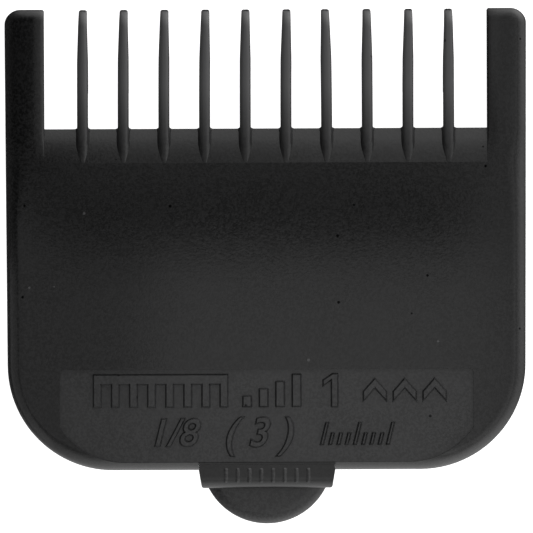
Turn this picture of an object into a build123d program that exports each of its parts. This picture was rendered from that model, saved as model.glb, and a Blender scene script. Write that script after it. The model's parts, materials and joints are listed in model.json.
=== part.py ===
from build123d import *
import os

# Clipper guard comb, size 1 (3 mm cut), lying on the rims of its side walls with the skin side up.
# +X is to the right, +Y is the way the teeth point and +Z is out of the skin side.
# All dimensions are in millimetres and degrees.

os.makedirs("parts", exist_ok=True)

# ---------------------------------------------------------------- driving dimensions
HEIGHT = 8.0                 # rims of the side walls to the skin face
HALF_WIDTH_FRONT = 25.4      # half of the 2 inch overall width, at the arms' tips
HALF_WIDTH_BACK = 25.14      # the sides close in slightly towards the back
TIP_Y = 25.06                # tips of the teeth and the arms
BACK_Y = -19.75              # back edge of the plate
BACK_CORNER_R = 10.25
PLATE_FRONT_Y = 13.45        # front edge of the plate, between the teeth
CREASE_Y = 10.1              # where the feed bevel starts
BEVEL_DROP = 1.15            # how far the bevel falls at the front edge
BEVEL_MID_DROP = 0.4         # and halfway along it, which makes it convex
PLATE_T = 1.5

TOOTH_COUNT = 10
TOOTH_PITCH = 3.95
TOOTH_T = 1.0
TOOTH_TIP_T = 0.74
TOOTH_TAPER_L = 4.9
TOOTH_NOSE_R = 1.8           # skin-side rounding of a tooth's tip
TOOTH_CROWN_R = 0.3
TOOTH_TIP_LOW_Z = 5.9        # underside of a tooth at its tip
TOOTH_STOP_DEPTH = 0.9       # step that the blade's tip butts against
TOOTH_STOP_L = 1.5           # and its length along the tooth

ARM_INNER_X = 21.64
ARM_CORNER_R = 1.5
ARM_INNER_EDGE_W = 1.2
ARM_INNER_EDGE_H = 0.45
ARM_ROUND_START_Y = 12.6     # the inner edges' rounding reaches its full size here
ARM_CROWN_END_Y = 4.5        # the arms' wide rounding runs out here
ARM_CROWN_W = 3.0
ARM_CROWN_H = 1.9

CROWN_RUN_IN = 0.02          # a tapering cut starts this much inside the surface it runs out of
ROOT_R = 0.25                # fillet where the plate's front edge meets an arm

EDGE_R = 1.55                # rounding of the outer edges of the skin face
RIM_R = 0.35                 # rounding of the rims that the comb rests on
WALL_T = 1.8
INNER_X = 23.5               # inner faces of the side walls

SEAT_Z = 5.6                 # plane that the blade's face sits on
BLADE_T = 2.9
BLADE_TIP_Y = 16.95
BLADE_HEEL_Y = -15.0
BLADE_CLEARANCE = 0.3

PANEL_HALF_W = 20.1
PANEL_FRONT_Y = -9.94
PANEL_BACK_Y = -19.0
PANEL_CORNER_R = 0.4
PANEL_ARC_R = 7.6
PANEL_ARC_X = 13.75
PANEL_RECESS = 0.3
PANEL_T = 0.7

RIB_X = 14.0
RIB_W = 1.2
RIB_BACK_Y = -13.5
RIB_FRONT_Y = 9.5
RIB_CORNER_R = 0.36

HOOK_BACK_Y = 12.0
HOOK_FRONT_Y = 16.0
HOOK_REACH = 1.3
HOOK_T = 1.3
HOOK_CHAMFER = 0.78

STOP_L = 2.6
STOP_W = 1.3
STOP_LOW_Z = 3.0
STOP_CHAMFER = 1.3
HEEL_STOP_X = 10.5
HEEL_STOP_W = 1.6
HEEL_STOP_CHAMFER = 0.8

LATCH_FRONT_Y = -19.2        # front face of the release block
LATCH_BACK_Y = -21.5
LATCH_HALF_W = 6.62
LATCH_BACK_HALF_W = 6.33
LATCH_TOP_Z = 7.95
LATCH_EDGE_R = 1.1
LATCH_CORNER_R = 0.25
LATCH_SIDE_GAP = 0.02
LATCH_WALL_GAP = 0.6         # from the latch to the back walls
LATCH_WALL_HALF_W = 6.1
LATCH_WALL_FRONT_Y = -19.9
LATCH_WALL_BACK_Y = -21.2
LATCH_LOW_Z = 1.3
WEB_T = 0.25
WEB_BACK_Y = -19.1

TONGUE_R = 6.42
TONGUE_CENTRE_Y = -18.64
TONGUE_TOP_Z = 5.6
TONGUE_T = 1.3
TONGUE_EDGE_R = 1.0
TONGUE_LOW_EDGE_R = 0.25

CATCH_HALF_W = 5.0
CATCH_T = 1.25
CATCH_GRIP = 0.6             # how far the catch reaches over the blade's heel
CATCH_LEAD_IN = 0.8
GUSSET_X = 4.0
GUSSET_T = 1.2
GUSSET_L = 2.2

# ---------------------------------------------------------------- derived positions
PLATE_LOW_Z = HEIGHT - PLATE_T
CORNER_Y = BACK_Y + BACK_CORNER_R
PANEL_TOP_Z = HEIGHT - PANEL_RECESS
PANEL_LOW_Z = PANEL_TOP_Z - PANEL_T
BLADE_LOW_Z = SEAT_Z - BLADE_T
TOOTH_X = [(i - (TOOTH_COUNT - 1) / 2) * TOOTH_PITCH for i in range(TOOTH_COUNT)]
PAST_TIP_Y = TIP_Y + 0.5     # where the arms' tapering cuts end
SIDE_SLOPE = (HALF_WIDTH_FRONT - HALF_WIDTH_BACK) / (TIP_Y - BACK_Y)
FAR = 60.0                   # larger than the comb, for cutting tools


def block(x, y, z, mode):
    """A box between the two values of x, of y and of z, in the part being built."""
    centre = (sum(x) / 2, sum(y) / 2, sum(z) / 2)
    with Locations(centre):
        Box(x[1] - x[0], y[1] - y[0], z[1] - z[0], mode=mode)


def save(piece, name):
    """Label a finished piece and write its STEP file."""
    piece.part.label = name
    export_step(piece.part, f"parts/{name}.step")


def side_name(side):
    return "left" if side < 0 else "right"


# ---------------------------------------------------------------- the moulding's outer form
# Everything on the comb's outside is cut from this one form, so neighbouring pieces meet flush.
with BuildPart() as form:
    with BuildSketch(Plane.XY) as outline:
        with BuildLine():
            Polyline(
                (HALF_WIDTH_BACK, BACK_Y),
                (HALF_WIDTH_FRONT, TIP_Y),
                (ARM_INNER_X, TIP_Y),
                (ARM_INNER_X, PLATE_FRONT_Y),
                (-ARM_INNER_X, PLATE_FRONT_Y),
                (-ARM_INNER_X, TIP_Y),
                (-HALF_WIDTH_FRONT, TIP_Y),
                (-HALF_WIDTH_BACK, BACK_Y),
                close=True,
            )
        make_face()
        fillet(outline.vertices().group_by(Axis.Y)[0], BACK_CORNER_R)
        tips = outline.vertices().group_by(Axis.Y)[-1].sort_by(Axis.X)
        fillet([tips[0], tips[-1]], ARM_CORNER_R)
        roots = outline.vertices().filter_by(lambda v: abs(v.Y - PLATE_FRONT_Y) < 0.01)
        fillet(roots, ROOT_R)
    extrude(amount=HEIGHT)
    top_edges = form.edges().group_by(Axis.Z)[-1]
    inner_edges = top_edges.filter_by(Axis.Y).filter_by(lambda e: abs(e.center().X) < ARM_INNER_X + 0.1)
    front_edge = top_edges.filter_by(lambda e: abs(e.center().Y - PLATE_FRONT_Y) < ROOT_R)
    outer_edges = top_edges - inner_edges - front_edge
    fillet(outer_edges, EDGE_R)
    rim_edges = form.edges().group_by(Axis.Z)[0]
    rim_edges = rim_edges.filter_by(lambda e: abs(e.center().X) > ARM_INNER_X or e.center().Y < 0)
    fillet(rim_edges, RIM_R)


def corner_section(y, edge_x, inward, width, height):
    """At y, what a rounding of this width and height takes off the top corner at edge_x.

    inward is the way from that corner into the material, 1 or -1 along X.
    """
    flat_x = edge_x + inward * width
    with BuildSketch(Plane.XZ.offset(-y)) as section:
        with BuildLine():
            EllipticalCenterArc((flat_x, HEIGHT - height), width, height,
                                90 if inward > 0 else 0, arc_size=90)
            Polyline(
                (edge_x, HEIGHT - height),
                (edge_x - inward, HEIGHT - height),
                (edge_x - inward, HEIGHT + 1),
                (flat_x, HEIGHT + 1),
                (flat_x, HEIGHT),
            )
        make_face()
    return section.sketch


def side_x(y):
    """The outer form's half width at y."""
    return HALF_WIDTH_FRONT - (TIP_Y - y) * SIDE_SLOPE


# the arms' outer edges round off more and more widely towards their tips
with BuildPart() as crowned_form:
    add(form.part)
    for side in (-1, 1):
        narrow = corner_section(ARM_CROWN_END_Y, side * side_x(ARM_CROWN_END_Y), -side,
                                EDGE_R - CROWN_RUN_IN, EDGE_R - CROWN_RUN_IN)
        wide = corner_section(PAST_TIP_Y, side * side_x(PAST_TIP_Y), -side, ARM_CROWN_W, ARM_CROWN_H)
        loft([narrow, wide], mode=Mode.SUBTRACT)


def cut_from_form(x, y, z):
    """Keep only what the outer form has inside this box; called in a part's block."""
    add(crowned_form.part)
    block(x, y, z, Mode.INTERSECT)


# ---------------------------------------------------------------- cover plate and label panel
def panel_outline(z):
    """The panel's outline on the level z: square at the front, arcs at the back corners."""
    arc_y = PANEL_BACK_Y + PANEL_ARC_R
    meet_y = arc_y - (PANEL_ARC_R**2 - (PANEL_HALF_W - PANEL_ARC_X) ** 2) ** 0.5
    with BuildSketch(Plane.XY.offset(z)) as panel:
        with BuildLine():
            RadiusArc((PANEL_ARC_X, PANEL_BACK_Y), (PANEL_HALF_W, meet_y), -PANEL_ARC_R)
            Polyline((PANEL_HALF_W, meet_y), (PANEL_HALF_W, PANEL_FRONT_Y),
                     (-PANEL_HALF_W, PANEL_FRONT_Y), (-PANEL_HALF_W, meet_y))
            RadiusArc((-PANEL_HALF_W, meet_y), (-PANEL_ARC_X, PANEL_BACK_Y), -PANEL_ARC_R)
            Line((-PANEL_ARC_X, PANEL_BACK_Y), (PANEL_ARC_X, PANEL_BACK_Y))
        make_face()
        fillet(panel.vertices().group_by(Axis.Y)[-1], PANEL_CORNER_R)
    return panel.sketch


with BuildPart() as size_label_panel:
    extrude(panel_outline(PANEL_LOW_Z), amount=PANEL_T)
save(size_label_panel, "size_label_panel")

with BuildPart() as cover_plate:
    cut_from_form((-FAR, FAR), (-FAR, FAR), (PLATE_LOW_Z, HEIGHT))
    for side in (-1, 1):
        ends = sorted((side * ARM_INNER_X, side * FAR))
        block(ends, (CREASE_Y, FAR), (0, FAR), Mode.SUBTRACT)
    with BuildSketch(Plane.YZ):
        with BuildLine():
            bevel_mid = ((CREASE_Y + PLATE_FRONT_Y) / 2, HEIGHT - BEVEL_MID_DROP)
            bevel_end = (PLATE_FRONT_Y, HEIGHT - BEVEL_DROP)
            ThreePointArc((CREASE_Y, HEIGHT), bevel_mid, bevel_end)
            Polyline(bevel_end, (PLATE_FRONT_Y + 1, HEIGHT - BEVEL_DROP), (PLATE_FRONT_Y + 1, HEIGHT + 1),
                     (CREASE_Y, HEIGHT + 1), (CREASE_Y, HEIGHT))
        make_face()
    extrude(amount=FAR, both=True, mode=Mode.SUBTRACT)
    extrude(panel_outline(PANEL_LOW_Z), amount=HEIGHT, mode=Mode.SUBTRACT)
    notch = LATCH_HALF_W + LATCH_SIDE_GAP
    block((-notch, notch), (-FAR, PANEL_BACK_Y), (0, FAR), Mode.SUBTRACT)
save(cover_plate, "cover_plate")

# ---------------------------------------------------------------- arms
for side in (-1, 1):
    with BuildPart() as arm:
        cut_from_form(sorted((side * ARM_INNER_X, side * FAR)), (CREASE_Y, FAR), (PLATE_LOW_Z, HEIGHT))
        sections = [
            corner_section(y, side * ARM_INNER_X, side, width, height)
            for y, width, height in (
                (CREASE_Y, CROWN_RUN_IN, CROWN_RUN_IN),
                (ARM_ROUND_START_Y, ARM_INNER_EDGE_W, ARM_INNER_EDGE_H),
                (PAST_TIP_Y, ARM_INNER_EDGE_W, ARM_INNER_EDGE_H),
            )
        ]
        loft(sections[:2], mode=Mode.SUBTRACT)
        loft(sections[1:], mode=Mode.SUBTRACT)
    save(arm, f"{side_name(side)}_arm")

# ---------------------------------------------------------------- side and back walls
with BuildPart() as blade_room:
    with BuildSketch(Plane.XY) as room:
        with BuildLine():
            inner_back = BACK_Y + WALL_T
            Polyline((-INNER_X, FAR), (-INNER_X, inner_back), (INNER_X, inner_back), (INNER_X, FAR),
                     close=True)
        make_face()
        fillet(room.vertices().group_by(Axis.Y)[0], BACK_CORNER_R - WALL_T)
    extrude(amount=PLATE_LOW_Z)

for side in (-1, 1):
    with BuildPart() as side_wall:
        cut_from_form(sorted((0, side * FAR)), (CORNER_Y, FAR), (0, PLATE_LOW_Z))
        add(blade_room.part, mode=Mode.SUBTRACT)
    save(side_wall, f"{side_name(side)}_side_wall")
    beside_latch = sorted((side * (LATCH_HALF_W + LATCH_WALL_GAP), side * FAR))
    with BuildPart() as back_wall:
        cut_from_form(beside_latch, (-FAR, CORNER_Y), (0, PLATE_LOW_Z))
        add(blade_room.part, mode=Mode.SUBTRACT)
    save(back_wall, f"back_wall_{side_name(side)}")

# ---------------------------------------------------------------- teeth
def make_tooth(x, name):
    """One tooth: a rib that rises out of the feed bevel and runs free to the tip."""
    taper_y = TIP_Y - TOOTH_TAPER_L
    with BuildPart() as tooth:
        with BuildSketch(Plane.YZ.offset(x)):
            with BuildLine():
                Polyline(
                    (TIP_Y, HEIGHT - TOOTH_NOSE_R),
                    (TIP_Y, TOOTH_TIP_LOW_Z),
                    (BLADE_TIP_Y + TOOTH_STOP_L, SEAT_Z - TOOTH_STOP_DEPTH),
                    (BLADE_TIP_Y, SEAT_Z - TOOTH_STOP_DEPTH),
                    (BLADE_TIP_Y, SEAT_Z),
                    (CREASE_Y, SEAT_Z),
                    (CREASE_Y, HEIGHT),
                    (TIP_Y - TOOTH_NOSE_R, HEIGHT),
                )
                RadiusArc((TIP_Y - TOOTH_NOSE_R, HEIGHT), (TIP_Y, HEIGHT - TOOTH_NOSE_R), TOOTH_NOSE_R)
            make_face()
        extrude(amount=TOOTH_T / 2, both=True)
        with BuildSketch(Plane.XY):
            with BuildLine():
                Polyline(
                    (x - TOOTH_T / 2, CREASE_Y),
                    (x - TOOTH_T / 2, taper_y),
                    (x - TOOTH_TIP_T / 2, TIP_Y),
                    (x + TOOTH_TIP_T / 2, TIP_Y),
                    (x + TOOTH_T / 2, taper_y),
                    (x + TOOTH_T / 2, CREASE_Y),
                    close=True,
                )
            make_face()
        extrude(amount=HEIGHT, mode=Mode.INTERSECT)
        along = tooth.edges().filter_by(lambda e: abs(e.tangent_at(0.5).X) < 0.1)
        fillet(along.filter_by(lambda e: e.center().Z > HEIGHT - TOOTH_NOSE_R), TOOTH_CROWN_R)
        add(cover_plate.part, mode=Mode.SUBTRACT)
    save(tooth, name)


for number, tooth_x in enumerate(TOOTH_X, start=1):
    make_tooth(tooth_x, f"tooth_{number:02d}")


# ---------------------------------------------------------------- what holds the blade
for rib_x, rib_name in ((-RIB_X, "left"), (0, "centre"), (RIB_X, "right")):
    with BuildPart() as blade_rib:
        block((rib_x - RIB_W / 2, rib_x + RIB_W / 2), (RIB_BACK_Y, RIB_FRONT_Y),
              (SEAT_Z, PLATE_LOW_Z), Mode.ADD)
        fillet(blade_rib.edges().filter_by(Axis.Z), RIB_CORNER_R)
    save(blade_rib, f"blade_rib_{rib_name}")

for side in (-1, 1):
    hook_top = BLADE_LOW_Z - BLADE_CLEARANCE
    with BuildPart() as blade_hook:
        block(sorted((side * INNER_X, side * (INNER_X - HOOK_REACH))), (HOOK_BACK_Y, HOOK_FRONT_Y),
              (hook_top - HOOK_T, hook_top), Mode.ADD)
        lip = blade_hook.edges().filter_by(Axis.Y).sort_by(lambda e: abs(e.center().X) + e.center().Z)[0]
        chamfer(lip, HOOK_CHAMFER)
    save(blade_hook, f"{side_name(side)}_blade_hook")

    with BuildPart() as blade_stop:
        block(sorted((side * INNER_X, side * (INNER_X - STOP_W))), (BLADE_TIP_Y, BLADE_TIP_Y + STOP_L),
              (STOP_LOW_Z, PLATE_LOW_Z), Mode.ADD)
        slope_edge = blade_stop.edges().filter_by(Axis.X).sort_by(lambda e: e.center().Z - e.center().Y)[0]
        chamfer(slope_edge, STOP_CHAMFER)
    save(blade_stop, f"{side_name(side)}_blade_stop")

    with BuildPart() as heel_stop:
        post = (side * HEEL_STOP_X - HEEL_STOP_W / 2, side * HEEL_STOP_X + HEEL_STOP_W / 2)
        block(post, (BACK_Y + WALL_T, BLADE_HEEL_Y), (STOP_LOW_Z, PLATE_LOW_Z), Mode.ADD)
        foot = heel_stop.edges().filter_by(Axis.X).sort_by(lambda e: e.center().Z - e.center().Y)[0]
        chamfer(foot, HEEL_STOP_CHAMFER)
    save(heel_stop, f"heel_stop_{side_name(side)}")

# ---------------------------------------------------------------- release latch
with BuildPart() as hinge_web:
    web_half = LATCH_HALF_W - LATCH_SIDE_GAP
    block((-web_half, web_half), (WEB_BACK_Y, PANEL_BACK_Y), (PANEL_TOP_Z - WEB_T, PANEL_TOP_Z), Mode.ADD)
save(hinge_web, "hinge_web")

with BuildPart() as release_block:
    with BuildSketch(Plane.XY.offset(PLATE_LOW_Z)) as block_outline:
        with BuildLine():
            Polyline(
                (-LATCH_HALF_W, LATCH_FRONT_Y),
                (LATCH_HALF_W, LATCH_FRONT_Y),
                (LATCH_HALF_W, BACK_Y),
                (LATCH_BACK_HALF_W, LATCH_BACK_Y),
                (-LATCH_BACK_HALF_W, LATCH_BACK_Y),
                (-LATCH_HALF_W, BACK_Y),
                close=True,
            )
        make_face()
        fillet(block_outline.vertices().group_by(Axis.Y)[0], LATCH_CORNER_R)
    extrude(amount=LATCH_TOP_Z - PLATE_LOW_Z)
    with BuildSketch(Plane.YZ) as block_profile:
        with BuildLine():
            Polyline(
                (LATCH_FRONT_Y, PLATE_LOW_Z),
                (LATCH_FRONT_Y, LATCH_TOP_Z),
                (LATCH_BACK_Y, LATCH_TOP_Z),
                (LATCH_BACK_Y, PLATE_LOW_Z),
                close=True,
            )
        make_face()
        fillet(block_profile.vertices().group_by(Axis.Y)[-1].sort_by(Axis.X)[0], LATCH_EDGE_R)
    extrude(amount=LATCH_HALF_W, both=True, mode=Mode.INTERSECT)
save(release_block, "release_block")

with BuildPart() as latch_wall:
    block((-LATCH_WALL_HALF_W, LATCH_WALL_HALF_W), (LATCH_WALL_BACK_Y, LATCH_WALL_FRONT_Y),
          (LATCH_LOW_Z, PLATE_LOW_Z), Mode.ADD)
    fillet(latch_wall.edges().filter_by(Axis.Z).group_by(Axis.Y)[0], LATCH_CORNER_R)
save(latch_wall, "latch_wall")

with BuildPart() as thumb_tongue:
    with BuildSketch(Plane.XY.offset(TONGUE_TOP_Z - TONGUE_T)):
        with Locations((0, TONGUE_CENTRE_Y)):
            Circle(TONGUE_R)
        with Locations((0, LATCH_WALL_BACK_Y)):
            Rectangle(FAR, FAR, align=(Align.CENTER, Align.MIN), mode=Mode.SUBTRACT)
    extrude(amount=TONGUE_T)
    fillet(thumb_tongue.edges().filter_by(GeomType.CIRCLE).sort_by(Axis.Z)[-1], TONGUE_EDGE_R)
    fillet(thumb_tongue.edges().filter_by(GeomType.CIRCLE).sort_by(Axis.Z)[0], TONGUE_LOW_EDGE_R)
save(thumb_tongue, "thumb_tongue")

with BuildPart() as heel_catch:
    catch_tip_y = BLADE_HEEL_Y + CATCH_GRIP
    catch_top = LATCH_LOW_Z + CATCH_T
    with BuildSketch(Plane.YZ):
        with BuildLine():
            Polyline(
                (LATCH_WALL_FRONT_Y, LATCH_LOW_Z),
                (catch_tip_y - CATCH_LEAD_IN, LATCH_LOW_Z),
                (catch_tip_y, LATCH_LOW_Z + CATCH_LEAD_IN),
                (catch_tip_y, catch_top),
                (LATCH_WALL_FRONT_Y, catch_top),
                close=True,
            )
        make_face()
    extrude(amount=CATCH_HALF_W, both=True)
save(heel_catch, "heel_catch")

for side in (-1, 1):
    with BuildPart() as latch_gusset:
        with BuildSketch(Plane.YZ.offset(side * GUSSET_X)):
            with BuildLine():
                Polyline(
                    (LATCH_WALL_FRONT_Y, catch_top),
                    (LATCH_WALL_FRONT_Y + GUSSET_L, catch_top),
                    (LATCH_WALL_FRONT_Y, catch_top + GUSSET_L),
                    close=True,
                )
            make_face()
        extrude(amount=GUSSET_T / 2, both=True)
    save(latch_gusset, f"latch_gusset_{side_name(side)}")
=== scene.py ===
import json
import math
import random

import bmesh
import bpy
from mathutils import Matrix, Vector


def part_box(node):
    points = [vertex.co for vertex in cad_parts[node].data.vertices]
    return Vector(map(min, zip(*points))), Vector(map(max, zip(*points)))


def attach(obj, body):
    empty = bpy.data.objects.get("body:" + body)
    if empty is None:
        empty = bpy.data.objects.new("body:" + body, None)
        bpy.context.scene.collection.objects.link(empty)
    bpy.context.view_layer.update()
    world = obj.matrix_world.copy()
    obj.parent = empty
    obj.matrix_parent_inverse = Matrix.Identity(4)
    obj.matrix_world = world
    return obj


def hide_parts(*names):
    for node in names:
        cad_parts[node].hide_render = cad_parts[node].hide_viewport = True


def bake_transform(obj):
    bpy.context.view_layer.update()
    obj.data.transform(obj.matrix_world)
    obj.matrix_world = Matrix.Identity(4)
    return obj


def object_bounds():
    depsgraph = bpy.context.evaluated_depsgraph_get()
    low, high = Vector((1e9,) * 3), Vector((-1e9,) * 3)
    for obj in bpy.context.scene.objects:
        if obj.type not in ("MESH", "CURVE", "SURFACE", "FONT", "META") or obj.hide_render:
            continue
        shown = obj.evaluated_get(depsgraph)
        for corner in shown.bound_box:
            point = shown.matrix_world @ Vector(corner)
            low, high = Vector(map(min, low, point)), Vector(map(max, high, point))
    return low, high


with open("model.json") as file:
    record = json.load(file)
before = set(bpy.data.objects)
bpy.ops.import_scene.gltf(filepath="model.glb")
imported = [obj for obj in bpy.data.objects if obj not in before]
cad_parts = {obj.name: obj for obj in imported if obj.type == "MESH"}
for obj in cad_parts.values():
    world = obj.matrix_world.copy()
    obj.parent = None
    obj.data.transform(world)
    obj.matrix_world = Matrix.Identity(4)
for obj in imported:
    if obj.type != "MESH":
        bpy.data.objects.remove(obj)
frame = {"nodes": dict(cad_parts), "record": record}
CAD_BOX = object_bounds()
NODES = frame["nodes"]
MM = 0.001

# ------------------------------------------------------------ places, from the frame
plate_lo, plate_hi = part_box("cover_plate")
panel_lo, panel_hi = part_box("size_label_panel")
block_lo, block_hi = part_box("release_block")
web_lo, web_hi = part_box("hinge_web")
tooth_lo, tooth_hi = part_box("tooth_01")
tooth_middle_y = (tooth_lo.y + tooth_hi.y) / 2
SKIN_Z = CAD_BOX[1].z
SEAT_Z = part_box("blade_rib_left")[0].z          # plane that the blade's face sits on
BLADE_TIP_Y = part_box("left_blade_stop")[0].y    # where the blade's tip ends
TEETH = sorted(name for name in NODES if name.startswith("tooth_"))


# ------------------------------------------------------------ materials
def node(tree, kind, **values):
    """A shader node, with its properties and unlinked inputs set."""
    made = tree.nodes.new(kind)
    for key, value in values.items():
        if key in made.inputs:
            made.inputs[key].default_value = value
        else:
            setattr(made, key, value)
    return made


def feed(tree, value, socket):
    """Link the socket to value if that is an output, or else set the socket to it."""
    if isinstance(value, bpy.types.NodeSocket):
        tree.links.new(value, socket)
    else:
        socket.default_value = value


def maths(tree, operation, one, two):
    """The result of a Math node; each side is a number, or an output that gives one."""
    made = node(tree, "ShaderNodeMath", operation=operation)
    feed(tree, one, made.inputs[0])
    feed(tree, two, made.inputs[1])
    return made.outputs[0]


def ranged(tree, value, start=(0, 1), end=(0, 1)):
    """A value mapped from the span start on to the span end, and held inside it."""
    made = node(tree, "ShaderNodeMapRange")
    made.inputs["From Min"].default_value, made.inputs["From Max"].default_value = start
    made.inputs["To Min"].default_value, made.inputs["To Max"].default_value = end
    tree.links.new(value, made.inputs["Value"])
    return made.outputs["Result"]


def blended(tree, share, one, two):
    """A colour that goes from one to two; each is a colour, or an output that gives one."""
    made = node(tree, "ShaderNodeMix", data_type="RGBA")
    tree.links.new(share, made.inputs["Factor"])
    for name, colour in (("A", one), ("B", two)):
        feed(tree, colour, next(i for i in made.inputs if i.name == name and i.type == "RGBA"))
    return next(o for o in made.outputs if o.type == "RGBA")


def grey(value):
    """A very slightly blue grey."""
    return (value, value, value * 1.02, 1)


# the nylon's textures; a scale is a number of grains, patches or cells to the metre
FINE_SCALE, BROAD_SCALE, SPECK_SCALE = 4200.0, 160.0, 560.0
GRAIN_SPAN = (0.42, 0.58)                       # fine noise from the darkest grains to the lightest
GRAIN_CONTRAST = 1.6                            # how far those stand from the tone, at a grain of 1
GRAIN_DEPTH = 0.03 * MM                         # of the bump, also at a grain of 1
DRIFT_SPAN = (0.35, 0.65)                       # broad noise where the drift starts and is complete
DRIFT_MOST = 0.4                                # the share of the way that it goes
DRIFT_TONE = 1.5                                # towards this multiple of the tone
SPECK_R = 0.08                                  # as a share of a cell
PIT_SHADE_FROM, LINT_FROM = 0.75, 0.88                # a cell whose lot is above this has that speck: a pit in painted shade, or lint
LINT_TONE = 0.05
ROUGH_SWING = 0.15                              # the roughness varies by this share of itself


def nylon(name, tone, roughness, grain, painted_paling=None):
    """Black moulded nylon: satin grain, a faintly uneven tone, a few pits in painted shade and
    specks of lint.

    The last argument is a painted highlight: where the surface starts to be painted paler and where
    it is palest, in y, and its tone there.
    """
    material = bpy.data.materials.new(name)
    material.use_nodes = True
    tree = material.node_tree
    shader = tree.nodes["Principled BSDF"]
    shader.inputs["IOR"].default_value = 1.5
    link = tree.links.new
    place = node(tree, "ShaderNodeTexCoord").outputs["Object"]

    fine = node(tree, "ShaderNodeTexNoise", Scale=FINE_SCALE, Detail=2.0, Roughness=0.7)
    broad = node(tree, "ShaderNodeTexNoise", Scale=BROAD_SCALE, Detail=4.0, Roughness=0.55)
    specks = node(tree, "ShaderNodeTexVoronoi", Scale=SPECK_SCALE)
    for texture in (fine, broad, specks):
        link(place, texture.inputs["Vector"])

    # tone: dark and light grains, drifting slowly to a lighter tone and back
    grains = node(tree, "ShaderNodeValToRGB")
    for stop, position, side in zip(grains.color_ramp.elements, GRAIN_SPAN, (-1, 1)):
        stop.position = position
        stop.color = grey(tone * (1 + side * grain * GRAIN_CONTRAST))
    link(fine.outputs["Fac"], grains.inputs["Fac"])
    drift = ranged(tree, broad.outputs["Fac"], DRIFT_SPAN, (0, DRIFT_MOST))
    tint = blended(tree, drift, grains.outputs["Color"], grey(tone * DRIFT_TONE))

    # painted highlight: the tone is painted paler along y
    if painted_paling:
        pale_from, palest_from, palest = painted_paling
        along = node(tree, "ShaderNodeSeparateXYZ")
        link(place, along.inputs["Vector"])
        painted_paling_share = ranged(tree, along.outputs["Y"], (pale_from, palest_from))
        tint = blended(tree, painted_paling_share, tint, grey(palest))

    # specks: a small spot in a few of the Voronoi cells, a pit in painted shade or pale lint
    lot = node(tree, "ShaderNodeSeparateColor")
    link(specks.outputs["Color"], lot.inputs["Color"])
    near = maths(tree, "LESS_THAN", specks.outputs["Distance"], SPECK_R)
    pit_shade, lint = (
        maths(tree, "MULTIPLY", near, maths(tree, "GREATER_THAN", lot.outputs[channel], limit))
        for channel, limit in (("Red", PIT_SHADE_FROM), ("Green", LINT_FROM))
    )
    tint = blended(tree, lint, tint, grey(LINT_TONE))
    link(tint, shader.inputs["Base Color"])

    rough = ranged(tree, fine.outputs["Fac"],
                   end=(roughness * (1 - ROUGH_SWING), roughness * (1 + ROUGH_SWING)))
    link(rough, shader.inputs["Roughness"])
    link(pit_shade, shader.inputs["Metallic"])        # painted shade of a pit: so dark a metal reflects almost nothing

    bump = node(tree, "ShaderNodeBump", Strength=grain, Distance=GRAIN_DEPTH)
    link(fine.outputs["Fac"], bump.inputs["Height"])
    link(bump.outputs["Normal"], shader.inputs["Normal"])
    return material


# painted highlight: the teeth are painted paler from just behind the plate's front edge to their
# middle and beyond
TOOTH_PAINTED_PALING = (plate_hi.y - 2 * MM, tooth_middle_y, 0.058)
# each slot's tone, roughness and grain
BY_SLOT = {
    "comb_nylon": nylon("comb_nylon_black", 0.006, 0.20, 0.4),
    "panel_nylon": nylon("panel_nylon_black", 0.017, 0.30, 0.25),
    "tooth_nylon": nylon("tooth_nylon_black", 0.008, 0.38, 0.35, TOOTH_PAINTED_PALING),
    "latch_nylon": nylon("latch_nylon_black", 0.013, 0.32, 0.45),
}
DARKER_BLOCK_NYLON = nylon("latch_nylon_darker", 0.003, 0.30, 0.45)   # the block, in a darker tone than the rest of the latch nylon


def dress_cad_nodes():
    for part in frame["record"]["subparts"]:
        piece = NODES[part["node"]]
        piece.data.materials.clear()
        piece.data.materials.append(BY_SLOT[part["material_slot"]])
    NODES["release_block"].data.materials[0] = DARKER_BLOCK_NYLON


# ------------------------------------------------------------ making pieces
SHARP_FROM = math.radians(35)                   # an edge that turns by more than this is sharp


def mix(a, b, share):
    return a + (b - a) * share


def share_of_way(value, start, end):
    """0 before start, 1 after end, and in proportion between them."""
    return min(1.0, max(0.0, (value - start) / (end - start)))


def spread(start, end, count):
    """count values evenly spaced from start to end, both included."""
    return [mix(start, end, i / (count - 1)) for i in range(count)]


def drop_of_round(past, radius):
    """How far a round of this radius has fallen away, this far past where it starts."""
    past = min(max(past, 0.0), radius)
    return radius - math.sqrt(radius**2 - past**2)


def finish_piece(name, mesh, slot):
    """An object for the mesh, in its slot's material and shaded smooth but for its sharp edges."""
    mesh.name = name
    mesh.materials.clear()
    mesh.materials.append(BY_SLOT[slot])
    mesh.shade_smooth()
    mesh.set_sharp_from_angle(angle=SHARP_FROM)
    piece = bpy.data.objects.new(name, mesh)
    bpy.context.scene.collection.objects.link(piece)
    return piece


def skinned(name, rings, slot):
    """A closed piece skinned over rings of points that go round it the same way."""
    shape = bmesh.new()
    loops = [[shape.verts.new(point) for point in ring] for ring in rings]
    around = len(rings[0])
    for one, two in zip(loops, loops[1:]):
        for i in range(around):
            j = (i + 1) % around
            shape.faces.new((one[i], one[j], two[j], two[i]))
    for cap in (loops[0], loops[-1]):
        shape.faces.new(cap)
    bmesh.ops.recalc_face_normals(shape, faces=shape.faces)
    mesh = bpy.data.meshes.new(name)
    shape.to_mesh(mesh)
    shape.free()
    return finish_piece(name, mesh, slot)


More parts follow.
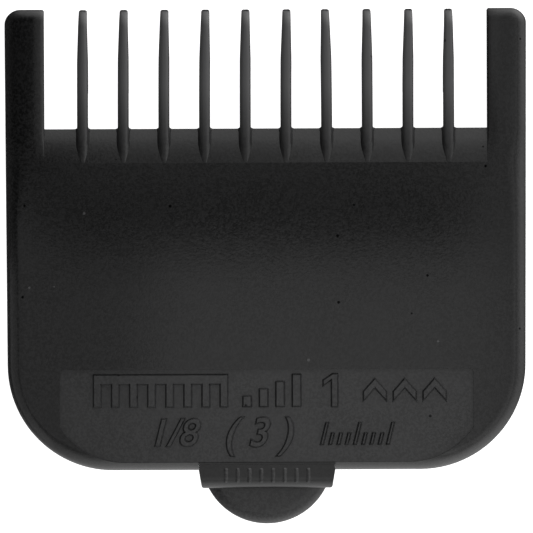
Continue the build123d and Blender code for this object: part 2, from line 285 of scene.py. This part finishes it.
# ------------------------------------------------------------ teeth
TOOTH_FRONT_Y = tooth_hi.y
TOOTH_BACK_Y = tooth_lo.y                       # the crease that the feed bevel starts from
TOOTH_SWELL = 0.04 * MM                         # moulded sides bulge this much past nominal ones
TOOTH_HALF = (tooth_hi.x - tooth_lo.x) / 2 + TOOTH_SWELL
TIP_HALF = 0.40 * MM
TAPER_L = 4.9 * MM                              # it narrows to its tip over this length
TIP_CORNER_R = 0.2 * MM                         # corners of the tip, seen from above
NOSE_R = 1.8 * MM                               # rounding of the tip, seen from the side
TOOTH_DROOP = 0.7 * MM                          # the skin edge sinks this much by the tip
CROWN_H = 0.45 * MM
CROWN_SHARE = 0.6                               # the most of the tooth's height that it takes up
CROWN_FULLNESS = 0.85                           # 1 is an ellipse, and less is squarer
KEEL_R = 0.18 * MM                              # rounding of the lower edges
KEEL_W = KEEL_R / 2                             # that rounding's width across the tooth
KEEL_NARROWING = 0.05 * MM                      # each flank leans in this much on its way down
TIP_LOW_Z = 5.9 * MM                            # where the lower edge ends at the tip
STOP_L = 1.5 * MM                               # lower edge's level length past the blade's tip
STOP_STEP = 0.02 * MM                           # length of the step down to it
TIP_STRAY = 0.12 * MM                           # a tip strays sideways by no more than this
STRAY_SEED = 5
PLATE_FRONT_Y = plate_hi.y - 0.25 * MM          # the plate's front edge, behind its end fillets
BEVEL_FALL = 0.45 * MM                          # the bevel's drop is a curve of these two terms
BEVEL_CURL = 0.70 * MM
FOOT_W, FOOT_H = 0.13 * MM, 0.3 * MM            # sloping foot of a tooth that stands on the bevel
ROOT_R = 0.25 * MM                              # its fillet at the plate's front edge
ROOT_RUN = 0.4 * MM                             # the one grows into the other over this length
LEAF_L = 2.5 * MM                               # a tooth widens like a leaf over this length
LEAF_TIP_HALF = 0.16 * MM


def bevel_z(y):
    along = share_of_way(y, TOOTH_BACK_Y, PLATE_FRONT_Y)
    return SKIN_Z - BEVEL_FALL * along - BEVEL_CURL * along**2


def foot_flare(y, z):
    """How much wider a tooth is at this place, from its foot and its fillet on the plate."""
    over = max(z - bevel_z(y), plate_lo.z - z, 0.0)
    foot = FOOT_W * share_of_way(over, FOOT_H, 0)
    fillet = drop_of_round(ROOT_R - math.hypot(max(y - PLATE_FRONT_Y, 0.0), over), ROOT_R)
    return mix(foot, fillet, share_of_way(y, PLATE_FRONT_Y - ROOT_RUN, PLATE_FRONT_Y))


def tooth_half_width(y):
    half = mix(TOOTH_HALF, TIP_HALF, share_of_way(y, TOOTH_FRONT_Y - TAPER_L, TOOTH_FRONT_Y))
    leaf = math.sin(share_of_way(y, TOOTH_BACK_Y, TOOTH_BACK_Y + LEAF_L) * math.pi / 2)
    half = mix(LEAF_TIP_HALF, half, leaf)
    return half - drop_of_round(y - (TOOTH_FRONT_Y - TIP_CORNER_R), TIP_CORNER_R)


def tooth_top(y):
    droop = TOOTH_DROOP * share_of_way(y, TOOTH_BACK_Y, TOOTH_FRONT_Y) ** 2
    return SKIN_Z - droop - drop_of_round(y - (TOOTH_FRONT_Y - NOSE_R), NOSE_R)


def tooth_bottom(y):
    """The blade's seat, then the step that stops the blade's tip, then a slope up to the tip."""
    if y <= BLADE_TIP_Y:
        return SEAT_Z
    rise = share_of_way(y, BLADE_TIP_Y + STOP_L, TOOTH_FRONT_Y)
    return mix(tooth_lo.z, TIP_LOW_Z, rise) + drop_of_round(y - (TOOTH_FRONT_Y - KEEL_R), KEEL_R)


def tooth_ring(root_x, stray, y):
    """The tooth's outline across itself at y: up the right flank, over the crown, down the left."""
    half, top, bottom = tooth_half_width(y), tooth_top(y), tooth_bottom(y)
    centre_x = root_x + stray * share_of_way(y, PLATE_FRONT_Y, TOOTH_FRONT_Y) ** 2
    crown = min(CROWN_H, (top - bottom) * CROWN_SHARE)
    shoulder = top - crown
    side = []
    for angle in spread(0, math.pi / 2, 5):
        x = half - KEEL_NARROWING - KEEL_W * (1 - math.sin(angle))
        side.append((x, bottom + KEEL_R * (1 - math.cos(angle))))
    for z in spread(bottom + KEEL_R, shoulder, 24)[1:]:
        widened = share_of_way(z, bottom + KEEL_R, shoulder)
        side.append((mix(half - KEEL_NARROWING, half, widened), z))
    for angle in spread(0, math.pi / 2, 12)[1:-1]:
        x = half * math.cos(angle) ** CROWN_FULLNESS
        side.append((x, shoulder + crown * math.sin(angle) ** CROWN_FULLNESS))
    side = [(x + foot_flare(y, z), z) for x, z in side]
    right = [Vector((centre_x + x, y, z)) for x, z in side]
    left = [Vector((centre_x - x, y, z)) for x, z in reversed(side)]
    return right + [Vector((centre_x, y, top))] + left


def tooth_stations():
    """Where along a tooth its outline is taken: close together at root, stop and tip."""
    nose_start = TOOTH_FRONT_Y - NOSE_R
    root_end = PLATE_FRONT_Y + ROOT_R
    stations = spread(TOOTH_BACK_Y, root_end, 44)
    stations += spread(root_end, BLADE_TIP_Y, 8)[1:]
    stations += spread(BLADE_TIP_Y + STOP_STEP, nose_start, 16)
    stations += [nose_start + NOSE_R * math.sin(angle) for angle in spread(0, math.pi / 2, 24)[1:]]
    return stations


def make_teeth():
    stations = tooth_stations()
    chance = random.Random(STRAY_SEED)
    for name in TEETH:
        low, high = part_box(name)
        stray = chance.uniform(-TIP_STRAY, TIP_STRAY)
        rings = [tooth_ring((low.x + high.x) / 2, stray, y) for y in stations]
        tooth = skinned(f"{name}_moulded", rings, "tooth_nylon")
        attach(tooth, "comb")
        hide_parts(name)


# ------------------------------------------------------------ arms
arm_lo, arm_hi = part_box("right_arm")
ARM_TIP_Y = arm_hi.y
ARM_SWELL = 0.12 * MM                           # its inner side bulges this much past nominal
ARM_INNER_X = arm_lo.x - ARM_SWELL
ARM_CORNER_R = 1.5 * MM                         # outer corner of the tip, seen from above
ARM_INNER_CORNER_R = 0.2 * MM
ARM_SETTLE_L = 3.5 * MM                         # its section settles over this, from the crease
# the outer edge's rounding, where the arm leaves the plate and further along
ROOT_ROUND_W, ROOT_ROUND_H = 1.92 * MM, 1.63 * MM
TIP_ROUND_W, TIP_ROUND_H = 1.1 * MM, 0.85 * MM
INNER_ROUND_W, INNER_ROUND_H = 1.1 * MM, 0.3 * MM   # of the inner edge, once settled
RIDGE_INSET = 1.4 * MM                          # highest line of the arm, from its inner edge
CROWN_FALL = 0.35 * MM                          # fall from there to the outer edge


def ease(value, start, end):
    """0 before start, 1 after end, and an S-curve between them."""
    share = share_of_way(value, start, end)
    return share * share * (3 - 2 * share)


def elliptical_drop(inset, width, height):
    """How far an edge's elliptical rounding has fallen, this far in from the edge."""
    past = share_of_way(inset, width, 0)
    return height * (1 - math.sqrt(1 - past**2))


def arm_side_x(y):
    return mix(plate_hi.x, arm_hi.x, share_of_way(y, TOOTH_BACK_Y, ARM_TIP_Y))


def arm_inset(x, y):
    """Distance in from the arm's outer side and tip, round the corner between them."""
    side, front = arm_side_x(y) - x, ARM_TIP_Y - y
    if max(side, front) < ARM_CORNER_R:
        return max(0.0, ARM_CORNER_R - math.hypot(ARM_CORNER_R - side, ARM_CORNER_R - front))
    return max(0.0, min(side, front))


def arm_top(x, y):
    """Height of the right arm's skin side: a low crown whose edges round off."""
    settled = ease(y, TOOTH_BACK_Y, TOOTH_BACK_Y + ARM_SETTLE_L)
    width, height = mix(ROOT_ROUND_W, TIP_ROUND_W, settled), mix(ROOT_ROUND_H, TIP_ROUND_H, settled)
    ridge = ARM_INNER_X + RIDGE_INSET
    crown = settled * CROWN_FALL * (max(0.0, x - ridge) / (arm_hi.x - ridge)) ** 2
    inner = settled * elliptical_drop(x - ARM_INNER_X, INNER_ROUND_W, INNER_ROUND_H)
    outer = elliptical_drop(arm_inset(x, y), width, height)
    return max(arm_lo.z, SKIN_Z - crown - inner - outer)


def arm_ring(y):
    """The right arm's outline across itself at y: over the top, down outside and back below."""
    inner = ARM_INNER_X + drop_of_round(y - (ARM_TIP_Y - ARM_INNER_CORNER_R), ARM_INNER_CORNER_R)
    outer = arm_side_x(y) - drop_of_round(y - (ARM_TIP_Y - ARM_CORNER_R), ARM_CORNER_R)
    across = [mix(inner, outer, (1 - math.cos(angle)) / 2) for angle in spread(0, math.pi, 48)]
    over = [Vector((x, y, arm_top(x, y))) for x in across]
    below = [Vector((x, y, arm_lo.z)) for x in (outer, inner)]
    return over + below


def make_arms():
    bend_end = TOOTH_BACK_Y + ARM_SETTLE_L
    tip_start = ARM_TIP_Y - ARM_CORNER_R
    stations = spread(TOOTH_BACK_Y, bend_end, 24) + spread(bend_end, tip_start, 12)[1:]
    angles = spread(0, math.pi / 2, 40)[1:]
    stations += [tip_start + ARM_CORNER_R * math.sin(angle) for angle in angles]
    rings = [arm_ring(y) for y in stations]
    for name, side in (("left_arm", -1), ("right_arm", 1)):
        mirrored = [[Vector((side * p.x, p.y, p.z)) for p in ring] for ring in rings]
        arm = skinned(f"{name}_moulded", mirrored, "comb_nylon")
        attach(arm, "comb")
        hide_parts(name)


# ------------------------------------------------------------ thumb tongue
tongue_lo, tongue_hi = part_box("thumb_tongue")
TONGUE_REACH = tongue_hi.y - tongue_lo.y
TONGUE_R = (tongue_hi.x**2 + TONGUE_REACH**2) / (2 * TONGUE_REACH)      # of the arc that ends it
TONGUE_MIDDLE_Y = tongue_lo.y + TONGUE_R
TONGUE_ROUND_W, TONGUE_ROUND_H = 1.4 * MM, 0.9 * MM
TONGUE_KEEL_R = 0.2 * MM                        # rounding of its lower edge
TONGUE_TRIM = 0.01 * MM                         # keeps a little length at its ends, to close them


def tongue_ring(x):
    """The tongue's outline along itself at x: over the top to its end, and back below."""
    end_y = TONGUE_MIDDLE_Y - math.sqrt(TONGUE_R**2 - x**2)
    over = []
    for angle in spread(0, math.pi / 2, 40):
        y = mix(tongue_hi.y, end_y, math.sin(angle))
        inset = max(0.0, TONGUE_R - math.hypot(x, y - TONGUE_MIDDLE_Y))
        rounding = elliptical_drop(inset, TONGUE_ROUND_W, TONGUE_ROUND_H)
        over.append(Vector((x, y, tongue_hi.z - rounding)))
    keel = min(TONGUE_KEEL_R, (tongue_hi.y - end_y) / 2)
    below = []
    for angle in spread(0, math.pi / 2, 5):
        y = end_y + keel * (1 - math.cos(angle))
        below.append(Vector((x, y, tongue_lo.z + keel * (1 - math.sin(angle)))))
    return over + below + [Vector((x, tongue_hi.y, tongue_lo.z))]


def make_tongue():
    widest = tongue_hi.x - TONGUE_TRIM
    angles = spread(-math.pi / 2, math.pi / 2, 64)
    rings = [tongue_ring(widest * math.sin(angle)) for angle in angles]
    tongue = skinned("thumb_tongue_moulded", rings, "latch_nylon")
    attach(tongue, "release_latch")
    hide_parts("thumb_tongue")


# ------------------------------------------------------------ markings
MARK_RISE = 0.3 * MM
MARK_SINK = 0.05 * MM                           # how far a mark goes down into what it stands on
MARK_DRAFT = 0.16 * MM                          # width of its sloping walls, seen from above
panel_middle = (panel_lo + panel_hi) / 2
ROW_ONE_Y = panel_middle.y + 2.45 * MM
ROW_TWO_Y = panel_middle.y - 1.75 * MM
ROW_ONE_H = 3.3 * MM
LEAN = 0.25                                     # slant of the second row
TYPE_SIZE = 1.37                                # of the built-in face, for figures 1 high
# where each mark's origin stands along its row
SIGN_X, BARS_X, NUMBER_X, ARROWS_X = -10.3 * MM, -1.9 * MM, 6.2 * MM, 13.4 * MM
FRACTION_X, CUT_X, SCALE_X = -8.9 * MM, -0.6 * MM, 5.6 * MM
BAR_PITCH, BAR_W, BAR_FIRST_H, BAR_STEP_H = 1.6 * MM, 1.0 * MM, 1.2 * MM, 0.7 * MM
TICK_W, TICK_LONG, TICK_SHORT = 0.45 * MM, 2.3 * MM, 1.3 * MM


def raised(name, data, body, slot, base_z, place, lean=0.0, rise=MARK_RISE):
    """A curve's or a text's flat shape as a low pad with sloping walls, standing on base_z."""
    data.bevel_depth = MARK_DRAFT
    data.bevel_resolution = 0
    data.offset -= MARK_DRAFT
    flat = bpy.data.objects.new(name, data)
    bpy.context.scene.collection.objects.link(flat)
    evaluated = flat.evaluated_get(bpy.context.evaluated_depsgraph_get())
    mesh = bpy.data.meshes.new_from_object(evaluated)
    bpy.data.objects.remove(flat)
    for vertex in mesh.vertices:
        x, y, z = vertex.co
        height = max(z * rise / MARK_DRAFT, -MARK_SINK)
        vertex.co = (place[0] + x + lean * y, place[1] + y, base_z + height)
    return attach(finish_piece(name, mesh, slot), body)


def curve_of(outlines):
    """A flat filled curve with these closed outlines; one inside another cuts a hole."""
    data = bpy.data.curves.new("outline", "CURVE")
    data.dimensions = "2D"
    data.fill_mode = "BOTH"
    for outline in outlines:
        spline = data.splines.new("POLY")
        spline.points.add(len(outline) - 1)
        for point, (x, y) in zip(spline.points, outline):
            point.co = (x, y, 0, 1)
        spline.use_cyclic_u = True
    return data


def bar(centre_x, centre_y, width, height, corner):
    """A rectangle's outline with rounded corners."""
    outline = []
    for quarter, (across, up) in enumerate(((1, 1), (-1, 1), (-1, -1), (1, -1))):
        corner_x = centre_x + across * (width / 2 - corner)
        corner_y = centre_y + up * (height / 2 - corner)
        for angle in spread(quarter * math.pi / 2, (quarter + 1) * math.pi / 2, 5):
            x, y = corner_x + corner * math.cos(angle), corner_y + corner * math.sin(angle)
            outline.append((x, y))
    return outline


def chevron(centre_x, centre_y, width, height, stroke):
    """An arrow head's outline that points along +Y."""
    half = width / 2
    low, high = centre_y - height / 2, centre_y + height / 2
    return [
        (centre_x, high),
        (centre_x - half, low + stroke),
        (centre_x - half, low),
        (centre_x, high - stroke),
        (centre_x + half, low),
        (centre_x + half, low + stroke),
    ]


def comb_sign(width, height, spine, teeth, gap):
    """A comb's outline, its spine up and its teeth pointing down."""
    pitch = (width + gap) / teeth
    low, root = -height / 2, height / 2 - spine
    outline = [(-width / 2, height / 2)]
    for i in range(teeth):
        left = -width / 2 + i * pitch
        right = left + pitch - gap
        if i:
            outline.append((left, root))
        outline += [(left, low), (right, low)]
        if i < teeth - 1:
            outline.append((right, root))
    return outline + [(width / 2, height / 2)]


def figure_one(height, stem, flag):
    """A bold 1: a stem, and a flag that slants down from its top."""
    top, low = height / 2, -height / 2
    flag_low, flag_high = top - 1.75 * flag, top - 0.8 * flag
    return [
        (stem, top),
        (stem, low),
        (0, low),
        (0, top - flag),
        (-flag, flag_low),
        (-flag, flag_high),
        (0.2 * stem, top),
    ]


def numeral(text, height, weight):
    """Numbers in the plain built-in face, centred on the origin."""
    data = bpy.data.curves.new("numeral", "FONT")
    data.body = text
    data.size = height * TYPE_SIZE
    data.align_x, data.align_y = "CENTER", "CENTER"
    data.offset = weight
    return data


def size_markings():
    """Generic size marks in the panel: a comb sign, bars, numbers and a scale."""
    base = panel_hi.z

    def mark(name, data, x, y, lean=0.0):
        raised(name, data, "comb", "panel_nylon", base, (x, y), lean)

    sign = comb_sign(width=13.2 * MM, height=ROW_ONE_H, spine=1.1 * MM, teeth=8, gap=0.85 * MM)
    mark("mark_comb_sign", curve_of([sign]), SIGN_X, ROW_ONE_Y)
    steps = []
    for i in range(4):
        height = BAR_FIRST_H + i * BAR_STEP_H
        steps.append(bar(i * BAR_PITCH, (height - ROW_ONE_H) / 2, BAR_W, height, corner=0.12 * MM))
    mark("mark_size_bars", curve_of(steps), BARS_X, ROW_ONE_Y)
    one = figure_one(height=3.36 * MM, stem=0.78 * MM, flag=0.8 * MM)
    mark("mark_size_number", curve_of([one]), NUMBER_X, ROW_ONE_Y)
    arrows = [chevron(x, 0, width=2.4 * MM, height=2.5 * MM, stroke=1.15 * MM)
              for x in spread(-2.9 * MM, 2.9 * MM, 3)]
    mark("mark_feed_arrows", curve_of(arrows), ARROWS_X, ROW_ONE_Y)

    fraction = numeral("1/8", height=2.7 * MM, weight=0.15 * MM)
    mark("mark_cut_fraction", fraction, FRACTION_X, ROW_TWO_Y, LEAN)
    cut = numeral("( 3 )", height=2.9 * MM, weight=0.15 * MM)
    mark("mark_cut_number", cut, CUT_X, ROW_TWO_Y, LEAN)
    ticks = []
    for i, x in enumerate(spread(0, 6.4 * MM, 9)):
        length = TICK_SHORT if i % 4 else TICK_LONG
        ticks.append(bar(x, (length - TICK_LONG) / 2, TICK_W, length, corner=0.1 * MM))
    mark("mark_scale", curve_of(ticks), SCALE_X, ROW_TWO_Y, LEAN)


RIB_RISE = 0.1 * MM
RIBS_OFF_MIDDLE = 0.1 * MM                      # towards the hinge


def grip_ribs():
    """The raised bars that a thumb feels on the release block."""
    ribs_y = (block_lo.y + block_hi.y) / 2 + RIBS_OFF_MIDDLE
    ribs = [bar(x, 0, width=0.42 * MM, height=1.45 * MM, corner=0.15 * MM)
            for x in spread(-4.0 * MM, 4.0 * MM, 8)]
    raised("release_grip_ribs", curve_of(ribs), "release_latch", "latch_nylon",
           block_hi.z, (0, ribs_y), rise=RIB_RISE)


# ------------------------------------------------------------ hinge web
WEB_OVERLAP = 0.04 * MM                         # how far the web runs into what it joins


def hinge_web():
    """The thin web that joins the latch to the plate, which bends on the comb when the tongue is
    pressed; this one is made fixed in place.
    """
    start = Vector((0, web_hi.y, web_hi.z))
    end = Vector((0, block_hi.y, web_hi.z))
    rings = []
    for x in spread(web_lo.x - WEB_OVERLAP, web_hi.x + WEB_OVERLAP, 60):
        front, back = start.y + WEB_OVERLAP, end.y - WEB_OVERLAP
        upper = [Vector((x, y, web_hi.z)) for y in spread(front, back, 9)]
        lower = [Vector((x, y, web_lo.z)) for y in spread(back, front, 9)]
        rings.append(upper + lower)
    web = skinned("hinge_web_moulded", rings, "comb_nylon")
    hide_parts("hinge_web")
    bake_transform(web)


# ------------------------------------------------------------ studio
FLOOR_GAP = 0.02 * MM                           # between the floor and the comb's lowest point
FLOOR_SIZE = 40                                 # metres, so well past the dome
DOME_R = 2                                      # metres, within the reach of a camera's far limit


def white_surroundings():
    """A white table and the white dome round it, which the eye sees but reflections don't."""
    material = bpy.data.materials.new("white_table")
    material.use_nodes = True
    shader = material.node_tree.nodes["Principled BSDF"]
    shader.inputs["Base Color"].default_value = (0.85, 0.85, 0.85, 1)
    shader.inputs["Roughness"].default_value = 0.9
    shader.inputs["Emission Color"].default_value = (1, 1, 1, 1)
    shader.inputs["Emission Strength"].default_value = 1.0
    bpy.ops.mesh.primitive_plane_add(size=FLOOR_SIZE, location=(0, 0, CAD_BOX[0].z - FLOOR_GAP))
    table = bpy.context.object
    table.name = "floor"
    bpy.ops.mesh.primitive_uv_sphere_add(radius=DOME_R)
    dome = bpy.context.object
    dome.name = "dome"
    dome.visible_diffuse = False
    for piece in (table, dome):
        piece.data.materials.append(material)
        piece.visible_glossy = False
        piece.visible_shadow = False


# the white tent round the table glows in wide soft patches: compass angle, height angle, radiance
TENT = (
    (45, 0, 2.3),
    (315, 0, 1.2),
    (90, 10, 0.85),
    (0, 30, 0.3),
    (180, 0, 0.1),
    (270, 20, 1.15),
    (270, -35, 1.0),
)
PATCH_POWER = 4.0                               # a higher power of the cosine: tighter patches
# glowing cards level above the comb: span in x and span in y, in metres, and radiance
CARD_RISE = 0.04                                # above the skin face
CARDS = {
    "card_plate": ((-0.012, 0.024), (-0.030, 0.002), 0.68),
    "card_plate_left": ((-0.023, -0.012), (-0.030, 0.002), 0.36),
    "card_left": ((-0.050, -0.023), (-0.030, 0.007), 0.36),
    "card_crease": ((-0.022, 0.021), (0.008, 0.018), 0.24),
    "card_latch": ((-0.020, 0.028), (-0.045, -0.030), 0.85),
    "card_teeth": ((0.002, 0.024), (0.018, 0.060), 0.5),
    "card_teeth_left": ((-0.020, 0.002), (0.018, 0.060), 0.3),
    "card_right": ((0.024, 0.060), (-0.045, 0.0), 0.48),
    "card_right_arm": ((0.021, 0.055), (0.0, 0.060), 0.37),
}
# and cards that stand: middle, the way they face, size, and radiance
STANDING_CARDS = {
    "card_side": ((-0.055, -0.030, 0.024), (1, 0, 0), (0.060, 0.048), 0.35),
    "card_front": ((0.0, 0.060, 0.040), (0, -1, 0), (0.060, 0.026), 0.35),
}


def pointing(compass, height):
    """The direction at this compass angle and height angle, in degrees."""
    around, up = math.radians(compass), math.radians(height)
    return Vector((math.cos(up) * math.cos(around), math.cos(up) * math.sin(around), math.sin(up)))


def tent():
    """The world: a sum of soft patches of white light, each brightest in one direction."""
    world = bpy.data.worlds.new("tent")
    bpy.context.scene.world = world
    world.use_nodes = True
    tree = world.node_tree
    direction = node(tree, "ShaderNodeTexCoord").outputs["Generated"]
    total = 0.0
    for compass, height, radiance in TENT:
        towards = node(tree, "ShaderNodeVectorMath", operation="DOT_PRODUCT")
        towards.inputs[1].default_value = pointing(compass, height)
        tree.links.new(direction, towards.inputs[0])
        facing = maths(tree, "MAXIMUM", towards.outputs["Value"], 0.0)
        patch = maths(tree, "MULTIPLY", maths(tree, "POWER", facing, PATCH_POWER), radiance)
        total = maths(tree, "ADD", total, patch)
    tree.links.new(total, tree.nodes["Background"].inputs["Strength"])
    tree.nodes["Background"].inputs["Color"].default_value = (1, 1, 1, 1)


def card(name, place, facing, size, radiance):
    """A rectangular light that looks equally bright from everywhere in front of it."""
    light = bpy.data.lights.new(name, "AREA")
    light.shape = "RECTANGLE"
    light.size, light.size_y = size
    light.energy = radiance * math.pi * size[0] * size[1]
    lamp = bpy.data.objects.new(name, light)
    bpy.context.scene.collection.objects.link(lamp)
    lamp.location = place
    lamp.rotation_euler = Vector(facing).to_track_quat("-Z", "Y").to_euler()
    lamp.visible_camera = False


def cards():
    for name, (across, along, radiance) in CARDS.items():
        place = (sum(across) / 2, sum(along) / 2, SKIN_Z + CARD_RISE)
        card(name, place, (0, 0, -1), (across[1] - across[0], along[1] - along[0]), radiance)
    for name, (place, facing, size, radiance) in STANDING_CARDS.items():
        card(name, place, facing, size, radiance)


LENS, SENSOR = 400.0, 36.0
VIEW_WIDTH = 51.72 * MM                         # seen across the picture, at the skin face
AIM_X, AIM_Y = 0.03 * MM, 0.02 * MM
ROLL = math.radians(-0.24)


def camera():
    """Straight above the skin face through a long lens, turned a quarter of a degree."""
    data = bpy.data.cameras.new("camera")
    data.lens, data.sensor_width = LENS, SENSOR
    data.clip_start, data.clip_end = 0.01, 100
    eye = bpy.data.objects.new("camera", data)
    bpy.context.scene.collection.objects.link(eye)
    eye.location = (AIM_X, AIM_Y, SKIN_Z + VIEW_WIDTH * LENS / SENSOR)
    eye.rotation_euler = (0, 0, ROLL)
    bpy.context.scene.camera = eye
    bpy.context.scene.view_settings.view_transform = "Standard"


dress_cad_nodes()
make_teeth()
make_arms()
make_tongue()
size_markings()
grip_ribs()
hinge_web()
white_surroundings()
tent()
cards()
camera()
